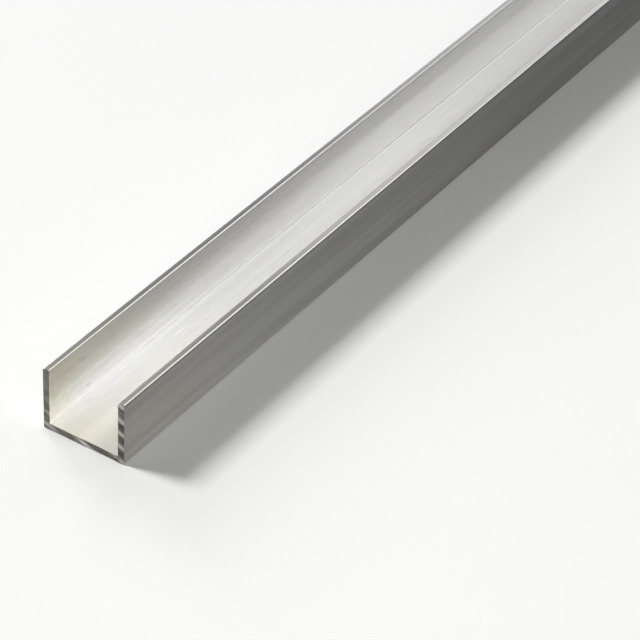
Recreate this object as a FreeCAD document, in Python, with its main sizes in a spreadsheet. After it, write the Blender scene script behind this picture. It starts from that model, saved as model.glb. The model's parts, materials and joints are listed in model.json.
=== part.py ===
import FreeCAD
import Part

import os

import Sketcher

# U-shaped channel section, extruded in one piece and sawn square to a stock length.
# It lies on its web with both flanges standing up. The length runs along X, the width
# along Y, and the origin is at the middle of the web's underside. Sizes are in millimetres.

# Driving sizes: the outside of the section, its two walls, the length and the edge roundings
SIZES = {
    "outer_width": 20.0,
    "outer_height": 15.0,
    "flange_thickness": 1.5,
    "web_thickness": 1.5,
    "stock_length": 1000.0,
    "inner_corner_radius": 0.2,
    "outer_corner_radius": 0.3,
    "tip_edge_radius": 0.3,
}

# Widest that each rounding may be: a tip keeps a flat between its two edges, an inner
# corner leaves room for the one across from it, and an outer corner stays as thick as the wall
TIP_LIMIT = "0.45 * Sizes.flange_thickness"
INNER_LIMIT = (
    "0.45 * min(Sizes.outer_width - 2 * Sizes.flange_thickness; Sizes.outer_height - Sizes.web_thickness)"
)
OUTER_LIMIT = "Sizes.inner_corner_radius + min(Sizes.flange_thickness; Sizes.web_thickness)"


def write_sizes(document):
    """Spreadsheet with one named cell for each driving size."""
    sheet = document.addObject("Spreadsheet::Sheet", "Sizes")
    for row, (alias, value) in enumerate(SIZES.items(), start=1):
        sheet.set("A%d" % row, alias)
        sheet.set("B%d" % row, str(value))
        sheet.setAlias("B%d" % row, alias)
    document.recompute()
    return sheet


def origin_plane(body, role):
    """The body's own origin plane with the given role."""
    for feature in body.Origin.OriginFeatures:
        if feature.Role == role:
            return feature
    raise ValueError("no origin plane " + role)


def section_corners(sheet):
    """Sharp corners of the section in order round it: distance across and height above the underside."""
    outside = sheet.outer_width / 2
    inside = outside - sheet.flange_thickness
    return {
        "outer_left": (-outside, 0.0),
        "outer_right": (outside, 0.0),
        "tip_outer_right": (outside, sheet.outer_height),
        "tip_inner_right": (inside, sheet.outer_height),
        "inner_right": (inside, sheet.web_thickness),
        "inner_left": (-inside, sheet.web_thickness),
        "tip_inner_left": (-inside, sheet.outer_height),
        "tip_outer_left": (-outside, sheet.outer_height),
    }


def draw_section(body, sheet):
    """Sketch of the U across the length: web below, flanges up, symmetric about the middle."""
    sketch = body.newObject("Sketcher::SketchObject", "Section")
    sketch.AttachmentSupport = [(origin_plane(body, "YZ_Plane"), "")]
    sketch.MapMode = "FlatFace"

    corners = [FreeCAD.Vector(across, up, 0) for across, up in section_corners(sheet).values()]
    count = len(corners)
    for index in range(count):
        sketch.addGeometry(Part.LineSegment(corners[index], corners[(index + 1) % count]))
    for index in range(count):
        sketch.addConstraint(Sketcher.Constraint("Coincident", index, 2, (index + 1) % count, 1))
    underside, right_outside, right_tip, right_inside = range(4)
    web_top, left_inside, left_tip, left_outside = range(4, count)
    for line in (right_tip, web_top, left_tip):
        sketch.addConstraint(Sketcher.Constraint("Horizontal", line))
    for line in (right_outside, right_inside, left_inside, left_outside):
        sketch.addConstraint(Sketcher.Constraint("Vertical", line))

    # The underside lies on the first axis of the plane, with its middle on the second
    first_axis, second_axis = -1, -2
    sketch.addConstraint(Sketcher.Constraint("PointOnObject", underside, 1, first_axis))
    sketch.addConstraint(Sketcher.Constraint("Symmetric", underside, 1, underside, 2, second_axis))
    sketch.addConstraint(Sketcher.Constraint("Equal", right_tip, left_tip))
    sketch.addConstraint(Sketcher.Constraint("Equal", right_outside, left_outside))

    # Each dimension runs from the start or end, 1 or 2, of one line to that of another
    dimensions = {
        "outer_width": ("DistanceX", underside, 1, underside, 2),
        "outer_height": ("DistanceY", right_outside, 1, right_outside, 2),
        "flange_thickness": ("DistanceX", right_tip, 2, right_tip, 1),
        "web_thickness": ("DistanceY", underside, 2, web_top, 1),
    }
    for name, ends in dimensions.items():
        place = sketch.addConstraint(Sketcher.Constraint(*ends, getattr(sheet, name)))
        sketch.renameConstraint(place, name)
        sketch.setExpression("Constraints." + name, "Sizes." + name)
    return sketch


def corner_edge(shape, across, up):
    """Name of the long edge through one corner of the section: its middle lies on that corner."""
    corner = FreeCAD.Vector(0, across, up)
    distances = [edge.CenterOfMass.distanceToPoint(corner) for edge in shape.Edges]
    return "Edge%d" % (distances.index(min(distances)) + 1)


def round_corners(base, sheet, name, corner_names, radius_name, limit):
    """Rounding along the named corners of the section, no wider than the limit."""
    corners = section_corners(sheet)
    edges = [corner_edge(base.Shape, *corners[corner]) for corner in corner_names]
    fillet = base.getParentGeoFeatureGroup().newObject("PartDesign::Fillet", name)
    fillet.Base = (base, edges)
    fillet.setExpression("Radius", "min(Sizes.%s; %s)" % (radius_name, limit))
    fillet.Document.recompute()
    return fillet


def channel_section(document, sheet):
    """The whole channel: the section drawn out to the stock length and rounded along its corners."""
    body = document.addObject("PartDesign::Body", "ChannelSection")
    body.Label = "channel_section"
    body.Placement = FreeCAD.Placement()

    run = body.newObject("PartDesign::Pad", "Run")
    run.Profile = draw_section(body, sheet)
    run.SideType = "Symmetric"
    run.setExpression("Length", "Sizes.stock_length")
    document.recompute()

    inner = ("inner_left", "inner_right")
    outer = ("outer_left", "outer_right")
    tips = ("tip_outer_left", "tip_inner_left", "tip_inner_right", "tip_outer_right")
    rounded = round_corners(run, sheet, "InnerCorners", inner, "inner_corner_radius", INNER_LIMIT)
    rounded = round_corners(rounded, sheet, "OuterCorners", outer, "outer_corner_radius", OUTER_LIMIT)
    rounded = round_corners(rounded, sheet, "FlangeTips", tips, "tip_edge_radius", TIP_LIMIT)
    body.Tip = rounded
    return body


def check_document(document, bodies):
    """Stops before anything is written if a feature failed or a piece isn't one sound solid."""
    for item in document.Objects:
        if "Invalid" in item.State or "Error" in item.State:
            raise RuntimeError("feature failed: " + item.Name)
    for body in bodies:
        if body.Shape.isNull() or not body.Shape.isValid() or len(body.Shape.Solids) != 1:
            raise RuntimeError("not one valid solid: " + body.Label)


def main():
    document = FreeCAD.newDocument("channel")
    sheet = write_sizes(document)
    bodies = [channel_section(document, sheet)]
    document.recompute()
    check_document(document, bodies)
    os.makedirs("parts", exist_ok=True)
    for body in bodies:
        body.Shape.exportStep("parts/%s.step" % body.Label)


main()
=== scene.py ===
import json
import math
import random

import bpy
import numpy as np
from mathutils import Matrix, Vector


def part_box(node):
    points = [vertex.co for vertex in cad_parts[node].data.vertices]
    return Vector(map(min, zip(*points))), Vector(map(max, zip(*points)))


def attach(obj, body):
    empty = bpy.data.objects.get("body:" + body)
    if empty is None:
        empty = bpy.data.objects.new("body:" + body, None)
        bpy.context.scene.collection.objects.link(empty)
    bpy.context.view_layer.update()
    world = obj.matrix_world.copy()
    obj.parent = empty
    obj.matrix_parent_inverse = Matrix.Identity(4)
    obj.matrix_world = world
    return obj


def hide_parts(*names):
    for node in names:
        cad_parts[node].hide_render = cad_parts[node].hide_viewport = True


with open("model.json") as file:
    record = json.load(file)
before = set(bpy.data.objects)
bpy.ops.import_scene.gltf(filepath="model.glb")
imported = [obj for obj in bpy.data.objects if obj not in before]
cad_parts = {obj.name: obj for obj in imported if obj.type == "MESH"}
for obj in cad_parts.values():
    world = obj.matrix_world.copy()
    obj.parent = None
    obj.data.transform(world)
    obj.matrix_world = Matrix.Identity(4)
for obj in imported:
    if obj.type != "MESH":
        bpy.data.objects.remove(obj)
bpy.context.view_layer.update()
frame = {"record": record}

bl_info = {
    "name": "Aluminium Channel Stock",
    "version": (1, 0, 0),
    "blender": (4, 5, 0),
    "location": "View3D > Sidebar > Channel",
    "description": "Dresses a packed U-shaped aluminium channel section as sawn, mill-finish stock",
    "category": "Object",
}

MM = 0.001
WHITE = (1.0, 1.0, 1.0)
NODE = "channel_section"
MOUNT_PLACES = {mount["name"]: mount["pos_m"] for mount in frame["record"]["mounts"]}
LOW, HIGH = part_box(NODE)

# Steps along each kind of line of the section
CORNER_STEPS = 12
TIP_STEPS = 8
WALL_STEPS = 12
END_EDGE_STEPS = 5
# Distances past an end's broken edge at which the run has a ring, before its even spacing begins
END_GUARDS = (0.15 * MM, 0.6 * MM, 2.5 * MM)
# Part of a tip rounding's height that keeps the outer face's colour, with its painted shade, below the
# rounding's painted highlight
SHADED_TIP_PART = 0.4

# Both sawn ends: place along the run, number of the first ring, way into the metal, and whether the saw
# marks are mirrored
ENDS = (
    {"place": LOW[0], "ring": 0, "inward": 1, "mirrored": False},
    {"place": HIGH[0], "ring": -1, "inward": -1, "mirrored": True},
)

# Finish of each face of the mesh, by the number of its material
INSIDE, OUTSIDE, EDGE, CORNER, LEFT_TIP, RIGHT_TIP, SAWN = range(7)
# Names of the mesh's map along the run and of the tone at each point of its cut faces, which carries their
# painted highlights and shade
RUN_MAP = "run"
SAW_TONE = "saw_tone"

# Waves that the die leaves: fewest and most round the section, how fast they get shallower as they get
# finer, the share of the depth that each takes, how often in a metre and how far it swells, and its part in
# the sum of all
WAVE_TURNS = (14, 110)
WAVE_FINENESS = 0.6
WAVE_SHARES = (0.4, 1.0)
WAVE_SWELLS = (0.6, 2.2)
WAVE_SWELL_SIZE = 0.35
WAVE_PART = 0.12
# Separate die lines: half width, share of the greatest depth, and half length
DIE_LINE_WIDTHS = (0.12 * MM, 0.32 * MM)
DIE_LINE_SHARES = (0.2, 1.0)
DIE_LINE_REACHES = (150 * MM, 900 * MM)

# Cut face from one saw mark to the next, going out from the middle of the blade: its depth and its tone,
# which paints a highlight on the slope above each crest and shade below it
RIDGE_SHARES = (0.0, 0.14, 0.55, 0.86, 1.0)
RIDGE_DEPTHS = (0.5, 1.0, 1.0, 0.0, 0.5)
MARK_SHARES = (0.0, 0.09, 0.2, 0.35, 0.6, 0.8, 0.91, 1.0)
MARK_TONES = (1.0, 0.75, 0.25, 0.15, 0.08, 0.12, 0.75, 1.0)
# Shift of the marks, in pitches, at the right flange, in the middle and at the left flange
MARK_SHIFTS = (0.0, 0.22, -0.14)
# Marks near one number, counted up from the lowest, lie lower by a part of the pitch
LOW_MARK = {"number": 2.7, "reach": 0.9, "shift": 0.12}
# Strength of the marks from the right flange to the left one, and up the left flange
STRENGTH_PLACES = (LOW[1], 0.0, 1.5 * MM, HIGH[1])
STRENGTHS = (1.0, 1.0, 0.5, 0.45)
LEFT_STRENGTH_PLACES = (6.0 * MM, 8.0 * MM)
LEFT_STRENGTHS = (1.0, 0.35)
# Tone of the metal where there is no mark, on the web and on the flanges, which is painted shade, less deep
# on the web. The web's marks are narrower, by this power, and never fall below a tone.
WEB_PLAIN_TONE = 0.36
FLANGE_PLAIN_TONE = 0.26
WEB_MARK_POWER = 2.2
WEB_LEAST_TONE = 0.18
# Part of the brightest metal that a mark reaches outside the patches below
MARK_REACH = 0.67
# Patches of the cut face where its tone is raised or lowered: middle and half size, across and up in
# millimetres, and how much brighter or darker the metal is there
CUT_PATCHES = (
    {"place": (-9.3, 12.6), "size": (1.2, 0.6), "gain": 1.2},
    {"place": (-9.3, 6.3), "size": (1.2, 0.5), "gain": -0.35},
    {"place": (-8.5, 0.9), "size": (0.5, 0.6), "gain": -0.6},
    {"place": (0.0, 0.75), "size": (1.7, 0.9), "gain": 0.6},
    {"place": (8.8, 0.75), "size": (1.6, 1.0), "gain": 0.45},
    {"place": (9.25, 14.3), "size": (1.0, 1.0), "gain": -0.4},
)

# Heights between which painted light and shade change the tone of the inner faces: at their foot, painted
# paler as a highlight; in their upper part by the near end, painted darker as shade; in the painted warm
# reflection tint over it; and at the band of painted shade under the flange tips
INSIDE_FOOT = (1.5 * MM, 4.5 * MM)
INSIDE_HIGH = (6.5 * MM, 9.0 * MM)
INSIDE_WARM_REFLECTION = (4.0 * MM, 8.0 * MM)
INSIDE_BAND = (9.0 * MM, 10.5 * MM)
# The same on the outer faces: painted shade towards the flange tips, and the painted dark line right under
# them
OUTSIDE_BAND = (5.0 * MM, 13.0 * MM)
OUTSIDE_LINE = (13.9 * MM, 14.5 * MM)

# Distances from the near end between which the faint painted warm tint of reflected light goes: on the
# outer faces and the tips, on the inner faces, and in the inner corners
TINT_FADE = (0 * MM, 50 * MM)
INSIDE_TINT_FADE = (3 * MM, 14 * MM)
CORNER_TINT_FADE = (0 * MM, 4 * MM)
# The same inside: the painted highlight at the foot goes, the painted shade of the upper part and its
# painted warm reflection tint go, and the band of painted shade comes
FOOT_FADE = (20 * MM, 60 * MM)
HIGH_FADE = (15 * MM, 55 * MM)
WARM_REFLECTION_FADE = (12 * MM, 75 * MM)
BAND_FADE = (70 * MM, 130 * MM)
# The painted shade of the outer faces deepens away from the near end, and the painted shade of the flange
# tips changes from the tone of their ends to the one near them and on to the one further away
OUTSIDE_FADE = (0 * MM, 180 * MM)
TIP_END_FADE = (14 * MM, 32 * MM)
LEFT_TIP_FADE = (60 * MM, 160 * MM)
RIGHT_TIP_FADE = (35 * MM, 85 * MM)

# Faint stripes of painted shade, as middle and half width: one along the inner faces, by its height, and
# one across the run, by its distance from the near end
INSIDE_STRIPE = (11.4 * MM, 0.9 * MM)
SHADED_STRETCH = (80 * MM, 50 * MM)

# Small marks of handling: place, length along the run and width in millimetres, and tone against the clean
# metal
HANDLING_MARKS = (
    {"place": (-487.3, 8.5, 3.5), "length": 1.1, "width": 0.8, "tone": 0.67},
    {"place": (-489.0, 8.5, 2.5), "length": 1.0, "width": 0.6, "tone": 0.92},
    {"place": (-459.2, 5.55, 1.5), "length": 5.0, "width": 0.6, "tone": 1.1},
    {"place": (-336.9, 5.5, 1.5), "length": 0.8, "width": 0.6, "tone": 1.12},
    {"place": (-338.4, 5.1, 1.5), "length": 0.5, "width": 0.5, "tone": 0.85},
)
# Half sizes from the middle of such a mark at which it begins and is whole
HANDLING_FADE = (1.5, 0.2)

# Range that most of a noise lies in
NOISE_RANGE = (0.3, 0.7)
# Streaks of the drawn faces and of the saw's teeth: rate along against that across, rate across in a metre,
# and detail
FINE_STREAKS = {"stretch": 0.004, "scale": 3200.0, "detail": 2.0}
INSIDE_STREAKS = {"stretch": 0.01, "scale": 600.0, "detail": 2.0}
OUTSIDE_STREAKS = {"stretch": 0.03, "scale": 420.0, "detail": 3.0}
TOOTH_STREAKS = {"stretch": 0.06, "scale": 5200.0, "detail": 3.0, "along": "UV"}
TORN_STREAKS = {"stretch": 0.3, "scale": 1500.0, "detail": 2.0, "along": "UV"}
# Relief of the finest streaks, how far they move the roughness and, on the cut faces, the tone
DRAWN_BUMP = {"Strength": 0.06, "Distance": 0.02 * MM}
SAWN_BUMP = {"Strength": 0.4, "Distance": 0.03 * MM}
DRAWN_ROUGHNESS_STEP = 0.03
SAWN_ROUGHNESS_STEP = 0.06
SAWN_TONE_STEP = 0.07
# Share of the darker streaks that shows on the roundings
ROUNDING_STREAK_SHARE = 0.1
# Turn of the stretched reflections, as part of a whole one, that sets them across the streaks
STREAK_TURN = 0.25
# Sockets of a Mix node for colours: share, both colours and result. They go by number, because its sockets
# for other kinds have the same names.
MIX_SHARE, MIX_FIRST, MIX_SECOND = 0, 6, 7
MIX_COLOUR = 2

# Soft lights, square panels that face the stock: direction from it in degrees, from +X towards +Y and up,
# and watts. Where a row says nothing else, a panel stands at this distance, is this wide, shines to all
# sides in front of it and is white.
SOFTBOX_DISTANCE = 3.0
SOFTBOX_SIDE = 1.0
SOFTBOX_SPREAD = 180
SOFTBOXES = (
    {"name": "key_near", "turn": -45, "rise": 30, "power": 5.3},
    {"name": "key_far", "turn": -22, "rise": 30, "power": 3.6},
    {"name": "key_high", "turn": -34, "rise": 42, "power": 2.4},
    {"name": "key_top", "turn": -14, "rise": 50, "power": 1.3},
    {"name": "key_middle", "turn": -8, "rise": 40, "power": 0.8},
    {"name": "fill_low", "turn": 42, "rise": 22, "power": 1.5},
    {"name": "fill_far", "turn": 22, "rise": 24, "power": 3.9},
    {"name": "fill_high", "turn": 22, "rise": 42, "power": 2.65, "colour": (1, 0.98, 0.93)},
    {"name": "fill_top", "turn": 42, "rise": 42, "power": 1.65, "colour": (1, 0.98, 0.93)},
    {"name": "side", "turn": 62, "rise": 22, "power": 30.0},
    {"name": "back", "turn": 105, "rise": 45, "power": 70.0, "side": 0.7},
    {"name": "front", "turn": -141, "rise": 40, "power": 0.195, "colour": (1, 0.99, 0.93),
     "distance": 0.5, "side": 0.24, "spread": 120},
)
# Camera's sensor in millimetres, and how near it sees
SENSOR_WIDTH = 36.0
NEAREST_SEEN = 50 * MM


# Settings


class ChannelSectionSettings(bpy.types.PropertyGroup):
    """Sizes of the section that the frame's box doesn't hold, and how finely it is drawn"""

    flange_thickness: bpy.props.FloatProperty(
        name="Flange Thickness", description="Wall of each upright flange",
        default=HIGH[1] - MOUNT_PLACES["flange_inside_left"][1],
        min=0.1 * MM, subtype="DISTANCE", precision=5,
    )
    web_thickness: bpy.props.FloatProperty(
        name="Web Thickness", description="Wall of the web between the flanges",
        default=MOUNT_PLACES["web_inside"][2] - LOW[2], min=0.1 * MM, subtype="DISTANCE", precision=5,
    )
    inner_corner_radius: bpy.props.FloatProperty(
        name="Inner Corner Radius", description="Rounding where each flange meets the top of the web",
        default=0.2 * MM, subtype="DISTANCE", precision=5,
    )
    outer_corner_radius: bpy.props.FloatProperty(
        name="Outer Corner Radius", description="Rounding along each outside edge of the underside",
        default=0.3 * MM, subtype="DISTANCE", precision=5,
    )
    tip_edge_radius: bpy.props.FloatProperty(
        name="Tip Edge Radius", description="Rounding along both edges of each flange tip",
        default=0.3 * MM, subtype="DISTANCE", precision=5,
    )
    end_edge_radius: bpy.props.FloatProperty(
        name="End Edge Radius", description="Broken edge round each sawn end",
        default=0.08 * MM, subtype="DISTANCE", precision=5,
    )
    point_spacing: bpy.props.FloatProperty(
        name="Point Spacing", description="Largest step between points round the section",
        default=0.2 * MM, subtype="DISTANCE", precision=5,
    )
    ring_spacing: bpy.props.FloatProperty(
        name="Ring Spacing", description="Largest step between rings along the length",
        default=9.0 * MM, subtype="DISTANCE", precision=5,
    )


class ChannelMarksSettings(bpy.types.PropertyGroup):
    """Relief that the die and the saw leave in the metal"""

    seed: bpy.props.IntProperty(name="Seed", description="Start of the random draws", default=11)
    wave_count: bpy.props.IntProperty(
        name="Waves", description="Number of broad shallow waves that are added up", default=26, min=0
    )
    wave_depth: bpy.props.FloatProperty(
        name="Wave Depth", description="Depth of the broad shallow waves that run along the drawn faces",
        default=0.003 * MM, subtype="DISTANCE", precision=6,
    )
    die_line_count: bpy.props.IntProperty(
        name="Die Lines", description="Number of separate die lines round the section", default=34, min=0
    )
    die_line_depth: bpy.props.FloatProperty(
        name="Die Line Depth", description="Depth of the deepest separate die line",
        default=0.006 * MM, subtype="DISTANCE", precision=6,
    )
    saw_pitch: bpy.props.FloatProperty(
        name="Saw Mark Pitch",
        description="Distance from one saw mark to the next, out from the middle of the blade",
        default=3.15 * MM, subtype="DISTANCE", precision=5,
    )
    saw_depth: bpy.props.FloatProperty(
        name="Saw Mark Depth", description="Depth of the deepest saw mark in the cut face",
        default=0.11 * MM, subtype="DISTANCE", precision=5,
    )
    blade_radius: bpy.props.FloatProperty(
        name="Blade Radius", description="Radius of the arc of the lowest mark on the right flange",
        default=76.0 * MM, subtype="DISTANCE", precision=4,
    )
    blade_across: bpy.props.FloatProperty(
        name="Blade Across", description="Middle of the blade, sideways from the middle of the section",
        default=25.1 * MM, subtype="DISTANCE", precision=4,
    )
    blade_below: bpy.props.FloatProperty(
        name="Blade Below", description="Middle of the blade, down from the underside",
        default=67.0 * MM, subtype="DISTANCE", precision=4,
    )


class ChannelFinishSettings(bpy.types.PropertyGroup):
    """Tone and gloss of the bare metal, with light and shade painted into its tone"""

    drawn_roughness: bpy.props.FloatProperty(
        name="Drawn Roughness", description="Mean roughness of the drawn faces",
        default=0.22, min=0.0, max=1.0, subtype="FACTOR",
    )
    drawn_anisotropy: bpy.props.FloatProperty(
        name="Drawn Anisotropy", description="How far the streaks stretch a reflection",
        default=0.8, min=0.0, max=1.0, subtype="FACTOR",
    )
    # Painted reflection: a warm tint of the light that the metal reflects by the near end
    near_reflection_tint: bpy.props.FloatVectorProperty(
        name="Near Tint", description="Faint straw tint of the metal by the near end",
        subtype="COLOR", default=(1.0, 0.993, 0.945),
    )
    inside_dark: bpy.props.FloatVectorProperty(
        name="Inside Dark", description="Darkest streaks of the inner faces",
        subtype="COLOR", default=(0.725, 0.722, 0.713),
    )
    inside_light: bpy.props.FloatVectorProperty(
        name="Inside Light", description="Lightest streaks of the inner faces",
        subtype="COLOR", default=(0.75, 0.747, 0.739),
    )
    # Painted light and shade of the inner faces: a paler foot, a darker upper part with a warm reflection
    # tint, and a darker band, stripe and stretch
    inside_foot_highlight: bpy.props.FloatVectorProperty(
        name="Inside Foot", description="Pale web and foot of the flanges by the near end",
        subtype="COLOR", default=(0.84, 0.837, 0.83),
    )
    inside_high_shade: bpy.props.FloatVectorProperty(
        name="Inside High", description="What the upper inner faces keep of the tone by the near end",
        subtype="COLOR", default=(0.95, 0.945, 0.935),
    )
    inside_warm_reflection: bpy.props.FloatVectorProperty(
        name="Inside Straw", description="Stronger straw tint of the upper inner faces by the near end",
        subtype="COLOR", default=(1.0, 0.988, 0.92),
    )
    inside_band_shade: bpy.props.FloatVectorProperty(
        name="Inside Band", description="What the dull band under the flange tips keeps of the tone",
        subtype="COLOR", default=(0.89, 0.89, 0.88),
    )
    inside_stripe_shade: bpy.props.FloatVectorProperty(
        name="Inside Stripe", description="What the dull stripe along the inner faces keeps of the tone",
        subtype="COLOR", default=(0.95, 0.95, 0.945),
    )
    shaded_stretch: bpy.props.FloatVectorProperty(
        name="Dull Stretch", description="What the dull stretch of the inner faces keeps of the tone",
        subtype="COLOR", default=(0.955, 0.955, 0.955),
    )
    # Painted highlight: the inner corners are brighter than the faces beside them, to outweigh the dark
    # line they would show
    corner_highlight_tone: bpy.props.FloatVectorProperty(
        name="Corner Tone", description="Smooth metal where the flanges meet the web",
        subtype="COLOR", default=(1.0, 1.0, 0.99),
    )
    corner_roughness: bpy.props.FloatProperty(
        name="Corner Roughness", description="Roughness where the flanges meet the web",
        default=0.19, min=0.0, max=1.0, subtype="FACTOR",
    )
    # Painted shade of the outer faces: darker overall than the inner faces, darker under the flange tips,
    # in a dark line below them and away from the near end. Their streaks are their own.
    outside_dark: bpy.props.FloatVectorProperty(
        name="Outside Dark", description="Darkest streaks of the outer faces",
        subtype="COLOR", default=(0.595, 0.593, 0.587),
    )
    outside_light: bpy.props.FloatVectorProperty(
        name="Outside Light", description="Lightest streaks of the outer faces",
        subtype="COLOR", default=(0.77, 0.767, 0.758),
    )
    outside_band_shade: bpy.props.FloatVectorProperty(
        name="Outside Band",
        description="What the outer faces keep of the tone close under the flange tips",
        subtype="COLOR", default=(0.76, 0.76, 0.76),
    )
    outside_shade_line: bpy.props.FloatVectorProperty(
        name="Outside Line",
        description="What the dark line right under the bright tip edges keeps of the tone",
        subtype="COLOR", default=(0.6, 0.6, 0.6),
    )
    outside_far_shade: bpy.props.FloatVectorProperty(
        name="Outside Far", description="What the outer faces keep of the tone away from the near end",
        subtype="COLOR", default=(0.545, 0.547, 0.555),
    )
    # Painted highlight: the roundings of the flange tips are brighter than the faces beside them
    edge_highlight_tone: bpy.props.FloatVectorProperty(
        name="Edge Tone", description="Smooth metal on the roundings of the flange tips",
        subtype="COLOR", default=(0.82, 0.818, 0.81),
    )
    # Painted shade of the flange tip flats: darker than the other faces, each tip by its own amount, and
    # most near the near end
    left_tip_end: bpy.props.FloatVectorProperty(
        name="Left Tip End", description="Left flange tip at the near end",
        subtype="COLOR", default=(0.31, 0.309, 0.3),
    )
    left_tip_near: bpy.props.FloatVectorProperty(
        name="Left Tip Near", description="Left flange tip by the near end",
        subtype="COLOR", default=(0.27, 0.269, 0.262),
    )
    left_tip_far: bpy.props.FloatVectorProperty(
        name="Left Tip Far", description="Left flange tip along the rest of the run",
        subtype="COLOR", default=(0.43, 0.429, 0.424),
    )
    right_tip_end: bpy.props.FloatVectorProperty(
        name="Right Tip End", description="Right flange tip at the near end",
        subtype="COLOR", default=(0.38, 0.374, 0.37),
    )
    right_tip_near: bpy.props.FloatVectorProperty(
        name="Right Tip Near", description="Right flange tip by the near end",
        subtype="COLOR", default=(0.34, 0.338, 0.332),
    )
    right_tip_far: bpy.props.FloatVectorProperty(
        name="Right Tip Far", description="Right flange tip along the rest of the run",
        subtype="COLOR", default=(0.575, 0.573, 0.567),
    )
    tip_roughness: bpy.props.FloatProperty(
        name="Tip Roughness", description="Roughness of the flats of the flange tips",
        default=0.3, min=0.0, max=1.0, subtype="FACTOR",
    )
    # Painted light and shade of the cut ends: the dark is painted shade between the marks, and the light is
    # their painted highlight
    sawn_dark: bpy.props.FloatVectorProperty(
        name="Sawn Dark", description="Torn metal between the saw marks",
        subtype="COLOR", default=(0.058, 0.053, 0.044),
    )
    sawn_light: bpy.props.FloatVectorProperty(
        name="Sawn Light", description="Brightest metal of the saw marks",
        subtype="COLOR", default=(0.72, 0.704, 0.645),
    )
    sawn_roughness: bpy.props.FloatProperty(
        name="Sawn Roughness", description="Mean roughness of the sawn ends",
        default=0.42, min=0.0, max=1.0, subtype="FACTOR",
    )


class ChannelStageSettings(bpy.types.PropertyGroup):
    """Floor, light and camera"""

    floor_tone: bpy.props.FloatVectorProperty(
        name="Floor Tone", description="Colour of the pale floor",
        subtype="COLOR", default=(0.96, 0.96, 0.96),
    )
    floor_reach: bpy.props.FloatProperty(
        name="Floor Reach", description="Half the side of the floor", default=30.0, subtype="DISTANCE"
    )
    floor_gap: bpy.props.FloatProperty(
        name="Floor Gap", description="Drop from the underside to the floor",
        default=0.02 * MM, subtype="DISTANCE", precision=5,
    )
    world_strength: bpy.props.FloatProperty(
        name="World Strength", description="Even light from all round", default=0.06, min=0.0
    )
    light_target: bpy.props.FloatVectorProperty(
        name="Light Target", description="Point that the soft lights face",
        default=(-0.38, 0.0, 0.01), subtype="TRANSLATION",
    )
    lens: bpy.props.FloatProperty(
        name="Lens", description="Focal length in millimetres", default=154.626, unit="CAMERA"
    )
    camera_place: bpy.props.FloatVectorProperty(
        name="Camera Place", description="Where the camera stands",
        default=(-0.83562, -0.25968, 0.35177), subtype="TRANSLATION", precision=5,
    )
    camera_turn: bpy.props.FloatVectorProperty(
        name="Camera Turn", description="How the camera is turned",
        default=[math.radians(angle) for angle in (53.0353, -2.6301, -56.4775)], subtype="EULER",
    )


# Section of the channel


def arc_point(centre, radius, angle):
    """Point of an arc round its centre, across the width and up."""
    return centre[0] + radius * math.cos(angle), centre[1] + radius * math.sin(angle)


def half_section(section, inset):
    """Left half of the section, from the middle of the web to the flange tip, moved in by inset.

    Gives two rows of points of equal count, across the width and up: the outer and the inner side of
    the wall. Points with the same number face each other across it.
    """
    half_width = HIGH[1]
    height = HIGH[2] - LOW[2]
    inner_radius = section.inner_corner_radius
    outer_radius = section.outer_corner_radius
    tip_radius = section.tip_edge_radius
    inside = half_width - section.flange_thickness
    inner_centre = (inside - inner_radius, section.web_thickness + inner_radius)
    outer_centre = (half_width - outer_radius, outer_radius)
    outer, inner = [], []

    web_steps = math.ceil(inner_centre[0] / section.point_spacing)
    for step in range(web_steps):
        across = inner_centre[0] * step / web_steps
        outer.append((across, inset))
        inner.append((across, section.web_thickness - inset))

    # The outer side runs straight, round its own corner and straight again while the inner side turns
    run_in = outer_centre[0] - inner_centre[0]
    bend = math.pi / 2 * outer_radius
    path = run_in + bend + inner_centre[1] - outer_centre[1]
    for step in range(CORNER_STEPS):
        share = step / CORNER_STEPS
        inner.append(arc_point(inner_centre, inner_radius + inset, math.pi / 2 * (share - 1)))
        along = share * path
        if along < run_in:
            outer.append((inner_centre[0] + along, inset))
        elif along < run_in + bend:
            turn = (along - run_in) / outer_radius - math.pi / 2
            outer.append(arc_point(outer_centre, outer_radius - inset, turn))
        else:
            outer.append((half_width - inset, outer_centre[1] + along - run_in - bend))

    flange_top = height - tip_radius
    flange_steps = math.ceil((flange_top - inner_centre[1]) / section.point_spacing)
    for step in range(flange_steps):
        up = inner_centre[1] + (flange_top - inner_centre[1]) * step / flange_steps
        outer.append((half_width - inset, up))
        inner.append((inside + inset, up))

    tip_centre = (half_width - tip_radius, flange_top)
    for step in range(TIP_STEPS + 1):
        across, up = arc_point(tip_centre, tip_radius - inset, math.pi / 2 * step / TIP_STEPS)
        outer.append((across, up))
        inner.append((half_width + inside - across, up))
    return np.array(outer), np.array(inner)


def whole_section(section, inset):
    """Both halves joined, from the right flange tip round the web to the left flange tip."""
    outer, inner = half_section(section, inset)
    mirror = np.array((-1.0, 1.0))
    return (
        np.vstack((outer[:0:-1] * mirror, outer)),
        np.vstack((inner[:0:-1] * mirror, inner)),
    )


def wall_grid(section, inset):
    """Points of the whole cut face: a row from the outer to the inner side for each station round the U."""
    outer, inner = whole_section(section, inset)
    shares = np.linspace(0.0, 1.0, WALL_STEPS + 1)[None, :, None]
    return outer[:, None, :] * (1 - shares) + inner[:, None, :] * shares


def rim_places(stations):
    """Grid places round the rim of the cut face, in order, as station and wall step."""
    last = stations - 1
    rim = [(station, 0) for station in range(stations)]
    rim += [(last, step) for step in range(1, WALL_STEPS)]
    rim += [(station, WALL_STEPS) for station in range(last, -1, -1)]
    rim += [(0, step) for step in range(WALL_STEPS - 1, 0, -1)]
    return rim


def rim_loop(section, rim, inset):
    """Points round the rim of the cut face, moved in by inset."""
    grid = wall_grid(section, inset)
    return np.array([grid[place] for place in rim])


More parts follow.
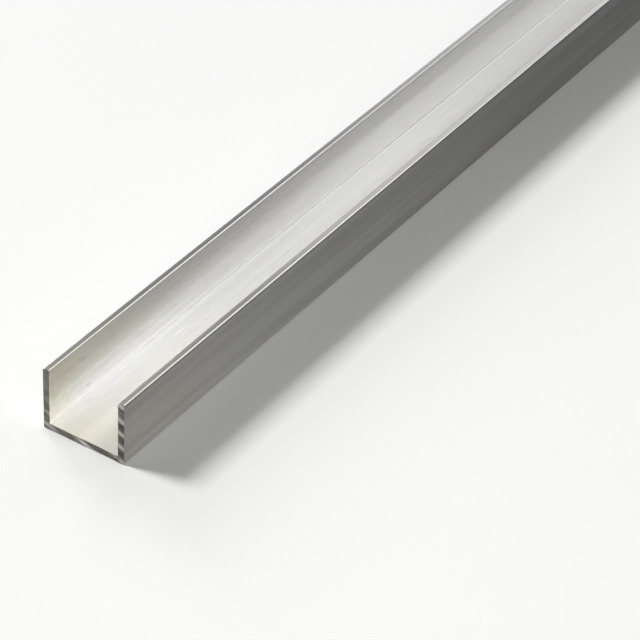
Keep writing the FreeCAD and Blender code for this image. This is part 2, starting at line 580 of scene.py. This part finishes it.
def inward_normals(loop):
    """Unit vectors square to a closed loop of points, pointing into the metal."""
    tangent = np.roll(loop, -1, axis=0) - np.roll(loop, 1, axis=0)
    normal = np.column_stack((-tangent[:, 1], tangent[:, 0]))
    return normal / np.linalg.norm(normal, axis=1)[:, None]


def loop_distance(loop):
    """Distance round the loop to each of its points, and the whole way round."""
    steps = np.linalg.norm(np.roll(loop, -1, axis=0) - loop, axis=1)
    return np.concatenate(((0.0,), np.cumsum(steps)[:-1])), steps.sum()


# Relief of the die and the saw


def die_relief(marks, loop, along):
    """Depth of the die's marks on each ring along the run, for each point round it."""
    draw = random.Random(marks.seed)
    distance, around = loop_distance(loop)
    share = distance / around
    relief = np.zeros((len(along), len(distance)))
    for wave in range(marks.wave_count):
        turns = draw.randint(*WAVE_TURNS)
        phase = draw.uniform(0, math.tau)
        size = (WAVE_TURNS[0] / turns) ** WAVE_FINENESS * draw.uniform(*WAVE_SHARES)
        swells = draw.uniform(*WAVE_SWELLS)
        start = draw.uniform(0, math.tau)
        strength = 1 + WAVE_SWELL_SIZE * np.sin(math.tau * swells * along + start)
        shape = 1 + np.sin(math.tau * turns * share + phase)
        relief += WAVE_PART * marks.wave_depth * size * strength[:, None] * shape
    for line in range(marks.die_line_count):
        place = draw.uniform(0, around)
        width = draw.uniform(*DIE_LINE_WIDTHS)
        depth = marks.die_line_depth * draw.uniform(*DIE_LINE_SHARES)
        middle = draw.uniform(LOW[0], HIGH[0])
        reach = draw.uniform(*DIE_LINE_REACHES)
        aside = (distance - place + around / 2) % around - around / 2
        profile = np.exp(-((aside / width) ** 2))
        fade = 1 / (1 + ((along - middle) / reach) ** 4)
        relief += depth * fade[:, None] * profile[None, :]
    return relief


def blade_places(marks, points, mirrored):
    """Where points of the cut face lie for the blade: round its middle and out from it."""
    side = (-points[..., 0] if mirrored else points[..., 0]) - marks.blade_across
    up = points[..., 1] + marks.blade_below
    return np.stack((marks.blade_radius * np.arctan2(side, up), np.hypot(side, up)), axis=-1)


def saw_marks(section, marks, points, mirrored):
    """Depth and tone of the cut face at points of it.

    Each mark is a ridge with a painted highlight on the slope above its crest and painted shade on the
    metal below. The marks are strongest on the right flange, where the blade went in, and faint at the top
    of the left one.
    """
    across = -points[..., 0] if mirrored else points[..., 0]
    up = points[..., 1]
    numbers = (blade_places(marks, points, mirrored)[..., 1] - marks.blade_radius) / marks.saw_pitch
    numbers = numbers + np.interp(across, (LOW[1], 0.0, HIGH[1]), MARK_SHIFTS)
    away = (numbers - LOW_MARK["number"]) / LOW_MARK["reach"]
    numbers = numbers + LOW_MARK["shift"] * np.exp(-(away ** 2))
    part = numbers % 1.0
    strength = np.interp(across, STRENGTH_PLACES, STRENGTHS)
    left_strength = np.interp(up, LEFT_STRENGTH_PLACES, LEFT_STRENGTHS)
    strength = strength * np.where(across > 0, left_strength, 1.0)
    depth = marks.saw_depth * strength * np.interp(part, RIDGE_SHARES, RIDGE_DEPTHS)

    # Painted highlight above each crest and painted shade below it, as the tone of the cut face
    tone = np.interp(part, MARK_SHARES, MARK_TONES)
    web = (up < section.web_thickness) & (np.abs(across) < HIGH[1] - section.flange_thickness)
    tone = np.where(web, WEB_LEAST_TONE + (1 - WEB_LEAST_TONE) * tone ** WEB_MARK_POWER, tone)
    plain = np.where(web, WEB_PLAIN_TONE, FLANGE_PLAIN_TONE)
    tone = MARK_REACH * (plain + (tone - plain) * strength)
    for patch in CUT_PATCHES:
        aside = (across - patch["place"][0] * MM) / (patch["size"][0] * MM)
        above = (up - patch["place"][1] * MM) / (patch["size"][1] * MM)
        tone = tone * (1 + patch["gain"] * np.exp(-(aside ** 2) - above ** 2))
    return depth, tone


# Mesh of the channel


def ring_places(section):
    """Place along the run and inset of each ring: one broken edge, an even run, and the other edge."""
    length = HIGH[0] - LOW[0]
    edge = section.end_edge_radius
    places = []
    for step in range(END_EDGE_STEPS + 1):
        angle = math.pi / 2 * (1 - step / END_EDGE_STEPS)
        places.append((edge * (1 - math.sin(angle)), edge * (1 - math.cos(angle))))
    places += [(edge + guard, 0.0) for guard in END_GUARDS]
    first = places[-1][0]
    count = math.ceil((length - 2 * first) / section.ring_spacing)
    even = [(first + (length - 2 * first) * step / count, 0.0) for step in range(1, count)]
    far = [(length - along, inset) for along, inset in reversed(places)]
    return [(LOW[0] + along, inset) for along, inset in places + even + far]


def ring_points(section, marks, rim, rings):
    """Points and tones of every ring, with the die's marks round it and the saw's marks at both ends."""
    loop = rim_loop(section, rim, 0.0)
    normals = inward_normals(loop)
    relief = die_relief(marks, loop, np.array([along for along, inset in rings]))
    points = np.zeros((len(rings), len(rim), 3))
    for ring, (along, inset) in enumerate(rings):
        points[ring, :, 0] = along
        points[ring, :, 1:] = rim_loop(section, rim, inset) + normals * relief[ring][:, None]
    tones = np.zeros((len(rings), len(rim)))
    for end in ENDS:
        depth, tone = saw_marks(section, marks, points[end["ring"], :, 1:], end["mirrored"])
        for step in range(END_EDGE_STEPS + 1):
            ring = end["ring"] + step * end["inward"]
            points[ring, :, 0] += end["inward"] * depth
            tones[ring] = tone
    return points, tones


def drawn_kind(section, place, after, point, next_point):
    """Finish of the strip between two neighbouring points round the section."""
    flange_top = HIGH[2] - LOW[2] - section.tip_edge_radius
    corner_reach = HIGH[1] - section.flange_thickness - section.inner_corner_radius
    corner_top = section.web_thickness + section.inner_corner_radius
    outside = place[1] == 0
    across = abs(point[0] + next_point[0]) / 2
    up = (point[1] + next_point[1]) / 2
    # Only on the flange tips does the rim go from one wall step to the next within a station
    if place[0] == after[0]:
        return LEFT_TIP if place[0] else RIGHT_TIP
    # The upper part of a tip rounding takes the painted highlight, and its lower part the outer face's
    # painted shade
    if up > flange_top + (SHADED_TIP_PART * section.tip_edge_radius if outside else 0.0):
        return EDGE
    if outside:
        return OUTSIDE
    if across > corner_reach and up < corner_top:
        return CORNER
    return INSIDE


def run_faces(section, rim, rings):
    """Faces between the rings, with the finish and the map along the run of each."""
    loop = rim_loop(section, rim, 0.0)
    distance, around = loop_distance(loop)
    ends = [*distance[1:], around]
    count = len(rim)
    faces, finishes, maps = [], [], []
    for ring in range(len(rings) - 1):
        broken_edge = min(ring, len(rings) - 2 - ring) < END_EDGE_STEPS
        near, far = rings[ring][0], rings[ring + 1][0]
        here, there = ring * count, (ring + 1) * count
        for place in range(count):
            after = (place + 1) % count
            kind = drawn_kind(section, rim[place], rim[after], loop[place], loop[after])
            faces.append((here + place, here + after, there + after, there + place))
            finishes.append(SAWN if broken_edge else kind)
            begin, end = distance[place], ends[place]
            maps.append(((near, begin), (near, end), (far, end), (far, begin)))
    return faces, finishes, maps


def cut_faces(index, blade_map, mirrored):
    """Faces of one cut end over its grid of point numbers, and the map along the blade's arcs of each."""
    faces, maps = [], []
    for station in range(index.shape[0] - 1):
        for wall in range(index.shape[1] - 1):
            corners = [
                int(index[station, wall]),
                int(index[station + 1, wall]),
                int(index[station + 1, wall + 1]),
                int(index[station, wall + 1]),
            ]
            if not mirrored:
                corners.reverse()
            faces.append(tuple(corners))
            maps.append([tuple(blade_map[corner]) for corner in corners])
    return faces, maps


def channel_mesh(section, marks):
    """Points, faces, finish and map of each face, and tone of each point, of the whole channel."""
    grid = wall_grid(section, section.end_edge_radius)
    stations = len(grid)
    rim = rim_places(stations)
    rings = ring_places(section)
    points, ring_tones = ring_points(section, marks, rim, rings)
    faces, finishes, maps = run_faces(section, rim, rings)

    # Each cut end has the points of its first ring round it and points of its own inside
    vertices, tones = [points.reshape(-1, 3)], [ring_tones.ravel()]
    inside = [(station, wall) for station in range(1, stations - 1) for wall in range(1, WALL_STEPS)]
    flat = np.array([grid[place] for place in inside])
    start = len(rings) * len(rim)
    grids = []
    for end in ENDS:
        index = np.zeros((stations, WALL_STEPS + 1), dtype=int)
        first_ring = end["ring"] % len(rings)
        for number, place in enumerate(rim, start=first_ring * len(rim)):
            index[place] = number
        for number, place in enumerate(inside, start=start):
            index[place] = number
        depth, tone = saw_marks(section, marks, flat, end["mirrored"])
        vertices.append(np.column_stack((end["place"] + end["inward"] * depth, flat)))
        tones.append(tone)
        start += len(inside)
        grids.append(index)
    vertices = np.vstack(vertices)

    for index, end in zip(grids, ENDS):
        blade_map = blade_places(marks, vertices[:, 1:], end["mirrored"])
        end_faces, end_maps = cut_faces(index, blade_map, end["mirrored"])
        faces += end_faces
        maps += end_maps
        finishes += [SAWN] * len(end_faces)
    return vertices, faces, finishes, maps, np.concatenate(tones)


# Finishes


class Tree:
    """Short ways to add nodes to a material's tree."""

    def __init__(self, name):
        self.material = bpy.data.materials.new(name)
        self.material.use_nodes = True
        self.nodes = self.material.node_tree.nodes
        self.links = self.material.node_tree.links
        self.nodes.clear()
        output = self.nodes.new("ShaderNodeOutputMaterial")
        self.shader = self.nodes.new("ShaderNodeBsdfPrincipled")
        self.shader.inputs["Metallic"].default_value = 1.0
        self.links.new(self.shader.outputs["BSDF"], output.inputs["Surface"])

    def add(self, kind, inputs=None, **properties):
        """New node with its properties set, and each input set to a value or linked to a socket."""
        node = self.nodes.new(kind)
        for name, value in properties.items():
            setattr(node, name, value)
        for name, value in (inputs or {}).items():
            if isinstance(value, bpy.types.NodeSocket):
                self.links.new(value, node.inputs[name])
            else:
                node.inputs[name].default_value = value
        return node

    def value_math(self, operation, first, second=0.0, **properties):
        """Result of one operation on two values."""
        node = self.add("ShaderNodeMath", {0: first, 1: second}, operation=operation, **properties)
        return node.outputs["Value"]

    def vector_math(self, operation, inputs):
        """Results of one operation on vectors."""
        return self.add("ShaderNodeVectorMath", inputs, operation=operation).outputs

    def smooth_share(self, value, start, end):
        """Share that rises smoothly from 0 to 1 as the value goes from start to end, up or down."""
        limits = {"Value": value, "From Min": start, "From Max": end}
        return self.add("ShaderNodeMapRange", limits, interpolation_type="SMOOTHSTEP").outputs["Result"]

    def streaks(self, stretch, scale, detail, along="Object"):
        """Noise drawn out along the first axis: stretch is its rate along that against its rate across."""
        place = self.add("ShaderNodeTexCoord").outputs[along]
        mapping = self.add("ShaderNodeMapping", {"Vector": place, "Scale": (stretch, 1.0, 1.0)})
        noise = self.add(
            "ShaderNodeTexNoise", {"Vector": mapping.outputs["Vector"], "Scale": scale, "Detail": detail}
        )
        return noise.outputs["Fac"]

    def spread(self, value, low, high):
        """Map of most of a noise to a range."""
        limits = {"From Min": NOISE_RANGE[0], "From Max": NOISE_RANGE[1], "To Min": low, "To Max": high}
        return self.add("ShaderNodeMapRange", {"Value": value, **limits}).outputs["Result"]

    def place_along(self, axis):
        """Place along an axis of the object."""
        place = self.add("ShaderNodeTexCoord").outputs["Object"]
        return self.add("ShaderNodeSeparateXYZ", {"Vector": place}).outputs[axis]

    def ramp(self, axis, start, end):
        """Share that rises smoothly from 0 to 1 between two places along an axis of the object."""
        return self.smooth_share(self.place_along(axis), start, end)

    def stripe(self, axis, middle, half_width):
        """Share that is 1 at one place along an axis of the object, and falls off smoothly beside it."""
        offset = self.value_math("SUBTRACT", self.place_along(axis), middle)
        away = self.value_math("ABSOLUTE", offset)
        return self.smooth_share(away, half_width, 0.0)

    def near(self, fade):
        """Share that falls smoothly from 1 to 0 between two distances from the near end."""
        return self.ramp("X", LOW[0] + fade[1], LOW[0] + fade[0])

    def far(self, fade):
        """Share that rises smoothly from 0 to 1 between two distances from the near end."""
        return self.ramp("X", LOW[0] + fade[0], LOW[0] + fade[1])

    def both(self, first, second):
        """Share where two others meet."""
        return self.value_math("MULTIPLY", first, second)

    def blend(self, share, first, second, kind="MIX"):
        """Colour between two others, or the first one multiplied by the second where kind is MULTIPLY."""
        inputs = {MIX_SHARE: share}
        for socket, value in ((MIX_FIRST, first), (MIX_SECOND, second)):
            inputs[socket] = value if isinstance(value, bpy.types.NodeSocket) else (*value, 1.0)
        node = self.add("ShaderNodeMix", inputs, data_type="RGBA", blend_type=kind)
        return node.outputs[MIX_COLOUR]

    def toned(self, colour, *layers):
        """The colour multiplied by the tone of each layer, where the layer's share lets it."""
        for share, tone in layers:
            colour = self.blend(share, colour, tone, "MULTIPLY")
        return colour

    def finish(self, colour, roughness, normal):
        """Feeds the metal shader and gives the material."""
        self.links.new(colour, self.shader.inputs["Base Color"])
        self.links.new(roughness, self.shader.inputs["Roughness"])
        self.links.new(normal, self.shader.inputs["Normal"])
        return self.material


def handled(tree, colour):
    """The colour with the small marks of handling laid over it."""
    place = tree.add("ShaderNodeTexCoord").outputs["Object"]
    for mark in HANDLING_MARKS:
        size = (mark["length"] * MM / 2, mark["width"] * MM / 2, mark["width"] * MM / 2)
        offset = tree.vector_math("SUBTRACT", {0: place, 1: Vector(mark["place"]) * MM})["Vector"]
        scaled = tree.vector_math("DIVIDE", {0: offset, 1: size})["Vector"]
        away = tree.vector_math("LENGTH", {0: scaled})["Value"]
        share = tree.smooth_share(away, *HANDLING_FADE)
        toned = tree.vector_math("SCALE", {0: colour, "Scale": mark["tone"]})["Vector"]
        colour = tree.blend(share, colour, toned)
    return colour


def drawn_finish(finish, name, roughness, colour_of, tint_fade=TINT_FADE):
    """Drawn aluminium: fine streaks along the length in sheen and relief, over its colour with a painted
    warm reflection tint near the end.
    """
    tree = Tree(name)
    fine = tree.streaks(**FINE_STREAKS)
    colour = tree.toned(colour_of(tree), (tree.near(tint_fade), finish.near_reflection_tint))
    bump = tree.add("ShaderNodeBump", {**DRAWN_BUMP, "Height": fine})
    tangent = tree.add("ShaderNodeTangent", direction_type="UV_MAP", uv_map=RUN_MAP)
    tree.links.new(tangent.outputs["Tangent"], tree.shader.inputs["Tangent"])
    tree.shader.inputs["Anisotropic"].default_value = finish.drawn_anisotropy
    tree.shader.inputs["Anisotropic Rotation"].default_value = STREAK_TURN
    gloss = tree.spread(fine, roughness - DRAWN_ROUGHNESS_STEP, roughness + DRAWN_ROUGHNESS_STEP)
    return tree.finish(colour, gloss, bump.outputs["Normal"])


def inside_finish(finish):
    """Web and inner faces: pale, with a painted highlight at the foot, painted shade in the upper part and
    in places, a painted warm reflection tint, and the marks of handling.
    """
    def colour_of(tree):
        broad = tree.spread(tree.streaks(**INSIDE_STREAKS), 0.0, 1.0)
        colour = tree.blend(broad, finish.inside_dark, finish.inside_light)
        foot = tree.ramp("Z", INSIDE_FOOT[1], INSIDE_FOOT[0])
        colour = tree.blend(tree.both(foot, tree.near(FOOT_FADE)), colour, finish.inside_foot_highlight)
        colour = tree.toned(
            colour,
            (tree.stripe("X", LOW[0] + SHADED_STRETCH[0], SHADED_STRETCH[1]), finish.shaded_stretch),
            (tree.both(tree.ramp("Z", *INSIDE_HIGH), tree.near(HIGH_FADE)), finish.inside_high_shade),
            (tree.both(tree.ramp("Z", *INSIDE_BAND), tree.far(BAND_FADE)), finish.inside_band_shade),
            (tree.both(tree.ramp("Z", *INSIDE_WARM_REFLECTION), tree.near(WARM_REFLECTION_FADE)), finish.inside_warm_reflection),
            (tree.stripe("Z", *INSIDE_STRIPE), finish.inside_stripe_shade),
        )
        return handled(tree, colour)

    return drawn_finish(finish, "inside_aluminium", finish.drawn_roughness, colour_of, INSIDE_TINT_FADE)


def outside_finish(finish):
    """Outer faces: darker than the inner ones as painted shade, with broad streaks, and more painted shade
    under the flange tips and away from the near end.
    """
    def colour_of(tree):
        broad = tree.spread(tree.streaks(**OUTSIDE_STREAKS), 0.0, 1.0)
        return tree.toned(
            tree.blend(broad, finish.outside_dark, finish.outside_light),
            (tree.ramp("Z", *OUTSIDE_BAND), finish.outside_band_shade),
            (tree.ramp("Z", *OUTSIDE_LINE), finish.outside_shade_line),
            (tree.far(OUTSIDE_FADE), finish.outside_far_shade),
        )

    return drawn_finish(finish, "outside_aluminium", finish.drawn_roughness, colour_of)


def rounding_finish(finish, name, tone, roughness, tint_fade=TINT_FADE):
    """Roundings along the run, smoother than the faces beside them and brighter, as a painted highlight."""
    def colour_of(tree):
        broad = tree.spread(tree.streaks(**INSIDE_STREAKS), 0.0, ROUNDING_STREAK_SHARE)
        return tree.blend(broad, tone, finish.inside_dark)

    return drawn_finish(finish, name, roughness, colour_of, tint_fade)


def tip_finish(finish, name, fade, end_tone, near_tone, far_tone):
    """Flat of a flange tip, darkened as painted shade: darkest near its end, lighter along the run."""
    def colour_of(tree):
        by_end = tree.blend(tree.far(TIP_END_FADE), end_tone, near_tone)
        return tree.blend(tree.far(fade), by_end, far_tone)

    return drawn_finish(finish, name, finish.tip_roughness, colour_of)


def sawn_finish(finish):
    """Cut aluminium: saw marks with painted highlights on darker metal with painted shade, with fine tooth
    scratches along the arcs.
    """
    tree = Tree("sawn_aluminium")
    scratches = tree.streaks(**TOOTH_STREAKS)
    tone = tree.add("ShaderNodeAttribute", attribute_name=SAW_TONE).outputs["Fac"]
    grain = tree.spread(scratches, -SAWN_TONE_STEP, SAWN_TONE_STEP)
    torn = tree.spread(tree.streaks(**TORN_STREAKS), -SAWN_TONE_STEP, SAWN_TONE_STEP)
    share = tree.value_math("ADD", tree.value_math("ADD", tone, torn), grain, use_clamp=True)
    colour = tree.blend(share, finish.sawn_dark, finish.sawn_light)
    bump = tree.add("ShaderNodeBump", {**SAWN_BUMP, "Height": scratches})
    least, most = finish.sawn_roughness - SAWN_ROUGHNESS_STEP, finish.sawn_roughness + SAWN_ROUGHNESS_STEP
    return tree.finish(colour, tree.spread(scratches, least, most), bump.outputs["Normal"])


def channel_finishes(finish):
    """Materials of the mesh, in the order of their numbers."""
    return (
        inside_finish(finish),
        outside_finish(finish),
        rounding_finish(finish, "edge_aluminium", finish.edge_highlight_tone, finish.drawn_roughness),
        rounding_finish(
            finish, "corner_aluminium", finish.corner_highlight_tone, finish.corner_roughness, CORNER_TINT_FADE
        ),
        tip_finish(
            finish, "left_tip_aluminium", LEFT_TIP_FADE,
            finish.left_tip_end, finish.left_tip_near, finish.left_tip_far,
        ),
        tip_finish(
            finish, "right_tip_aluminium", RIGHT_TIP_FADE,
            finish.right_tip_end, finish.right_tip_near, finish.right_tip_far,
        ),
        sawn_finish(finish),
    )


# Pieces


class OBJECT_OT_channel_stock_add(bpy.types.Operator):
    """Add the channel with its die lines, sawn ends and bare metal finish, with painted light and shade"""

    bl_idname = "object.channel_stock_add"
    bl_label = "Channel Stock"
    bl_options = {"REGISTER", "UNDO"}

    def execute(self, context):
        scene = context.scene
        vertices, faces, finishes, maps, tones = channel_mesh(
            scene.channel_section_sizes, scene.channel_marks
        )
        mesh = bpy.data.meshes.new("channel_stock")
        mesh.from_pydata([tuple(vertex) for vertex in vertices], [], faces)
        for material in channel_finishes(scene.channel_finish):
            mesh.materials.append(material)
        mesh.polygons.foreach_set("material_index", finishes)
        mesh.polygons.foreach_set("use_smooth", [True] * len(faces))
        run_map = mesh.uv_layers.new(name=RUN_MAP)
        run_map.data.foreach_set("uv", np.array(maps, dtype=np.float32).ravel())
        tone = mesh.attributes.new(SAW_TONE, "FLOAT", "POINT")
        tone.data.foreach_set("value", tones.astype(np.float32))
        mesh.update()
        stock = bpy.data.objects.new("channel_stock", mesh)
        scene.collection.objects.link(stock)
        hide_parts(NODE)
        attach(stock, "root")
        return {"FINISHED"}


class OBJECT_OT_channel_stage_add(bpy.types.Operator):
    """Add the pale floor, the soft lights and the camera"""

    bl_idname = "object.channel_stage_add"
    bl_label = "Stage"
    bl_options = {"REGISTER", "UNDO"}

    def execute(self, context):
        scene = context.scene
        stage = scene.channel_stage
        self.add_floor(scene, stage)
        self.add_world(scene, stage)
        self.add_lights(scene, stage)
        self.add_camera(scene, stage)
        scene.view_settings.view_transform = "Standard"
        return {"FINISHED"}

    def add_floor(self, scene, stage):
        """Plain square under the channel, with no gloss."""
        reach = stage.floor_reach
        corners = [(-reach, -reach, 0), (reach, -reach, 0), (reach, reach, 0), (-reach, reach, 0)]
        mesh = bpy.data.meshes.new("floor")
        mesh.from_pydata(corners, [], [(0, 1, 2, 3)])
        floor = bpy.data.objects.new("floor", mesh)
        floor.location.z = LOW[2] - stage.floor_gap
        scene.collection.objects.link(floor)
        material = bpy.data.materials.new("floor")
        material.use_nodes = True
        shader = material.node_tree.nodes["Principled BSDF"]
        shader.inputs["Base Color"].default_value = (*stage.floor_tone, 1.0)
        shader.inputs["Roughness"].default_value = 1.0
        shader.inputs["Specular IOR Level"].default_value = 0.0
        mesh.materials.append(material)

    def add_world(self, scene, stage):
        """Weak even light from all round."""
        world = bpy.data.worlds.new("world")
        world.use_nodes = True
        background = world.node_tree.nodes["Background"]
        background.inputs["Color"].default_value = (*WHITE, 1.0)
        background.inputs["Strength"].default_value = stage.world_strength
        scene.world = world

    def add_lights(self, scene, stage):
        """Soft panels round the channel, which the camera doesn't see."""
        target = Vector(stage.light_target)
        for box in SOFTBOXES:
            turn, rise = math.radians(box["turn"]), math.radians(box["rise"])
            level = math.cos(rise)
            away = Vector((math.cos(turn) * level, math.sin(turn) * level, math.sin(rise)))
            light = bpy.data.lights.new(box["name"], "AREA")
            light.shape = "SQUARE"
            light.size = box.get("side", SOFTBOX_SIDE)
            light.energy = box["power"]
            light.color = box.get("colour", WHITE)
            light.spread = math.radians(box.get("spread", SOFTBOX_SPREAD))
            lamp = bpy.data.objects.new(box["name"], light)
            lamp.location = target + box.get("distance", SOFTBOX_DISTANCE) * away
            lamp.rotation_mode = "QUATERNION"
            lamp.rotation_quaternion = (-away).to_track_quat("-Z", "Y")
            lamp.visible_camera = False
            scene.collection.objects.link(lamp)

    def add_camera(self, scene, stage):
        """Camera at the photo's place, looking down on the near end."""
        camera = bpy.data.objects.new("camera", bpy.data.cameras.new("camera"))
        camera.data.lens = stage.lens
        camera.data.sensor_width = SENSOR_WIDTH
        camera.data.clip_start = NEAREST_SEEN
        camera.location = stage.camera_place
        camera.rotation_euler = stage.camera_turn
        scene.collection.objects.link(camera)
        scene.camera = camera


class VIEW3D_PT_channel(bpy.types.Panel):
    """Sidebar panel with the channel's pieces and settings"""

    bl_idname = "VIEW3D_PT_channel"
    bl_label = "Channel"
    bl_space_type = "VIEW_3D"
    bl_region_type = "UI"
    bl_category = "Channel"

    def draw(self, context):
        layout = self.layout
        for group in SETTINGS:
            settings = getattr(context.scene, group)
            for name in settings.bl_rna.properties.keys():
                if name not in ("rna_type", "name"):
                    layout.prop(settings, name)
        layout.operator(OBJECT_OT_channel_stock_add.bl_idname)
        layout.operator(OBJECT_OT_channel_stage_add.bl_idname)


SETTINGS = {
    "channel_section_sizes": ChannelSectionSettings,
    "channel_marks": ChannelMarksSettings,
    "channel_finish": ChannelFinishSettings,
    "channel_stage": ChannelStageSettings,
}
CLASSES = (*SETTINGS.values(), OBJECT_OT_channel_stock_add, OBJECT_OT_channel_stage_add, VIEW3D_PT_channel)


def register():
    for cls in CLASSES:
        bpy.utils.register_class(cls)
    for name, group in SETTINGS.items():
        setattr(bpy.types.Scene, name, bpy.props.PointerProperty(type=group))


def unregister():
    for name in SETTINGS:
        delattr(bpy.types.Scene, name)
    for cls in reversed(CLASSES):
        bpy.utils.unregister_class(cls)


def main():
    register()
    bpy.ops.object.channel_stock_add()
    bpy.ops.object.channel_stage_add()


if __name__ == "__main__":
    main()
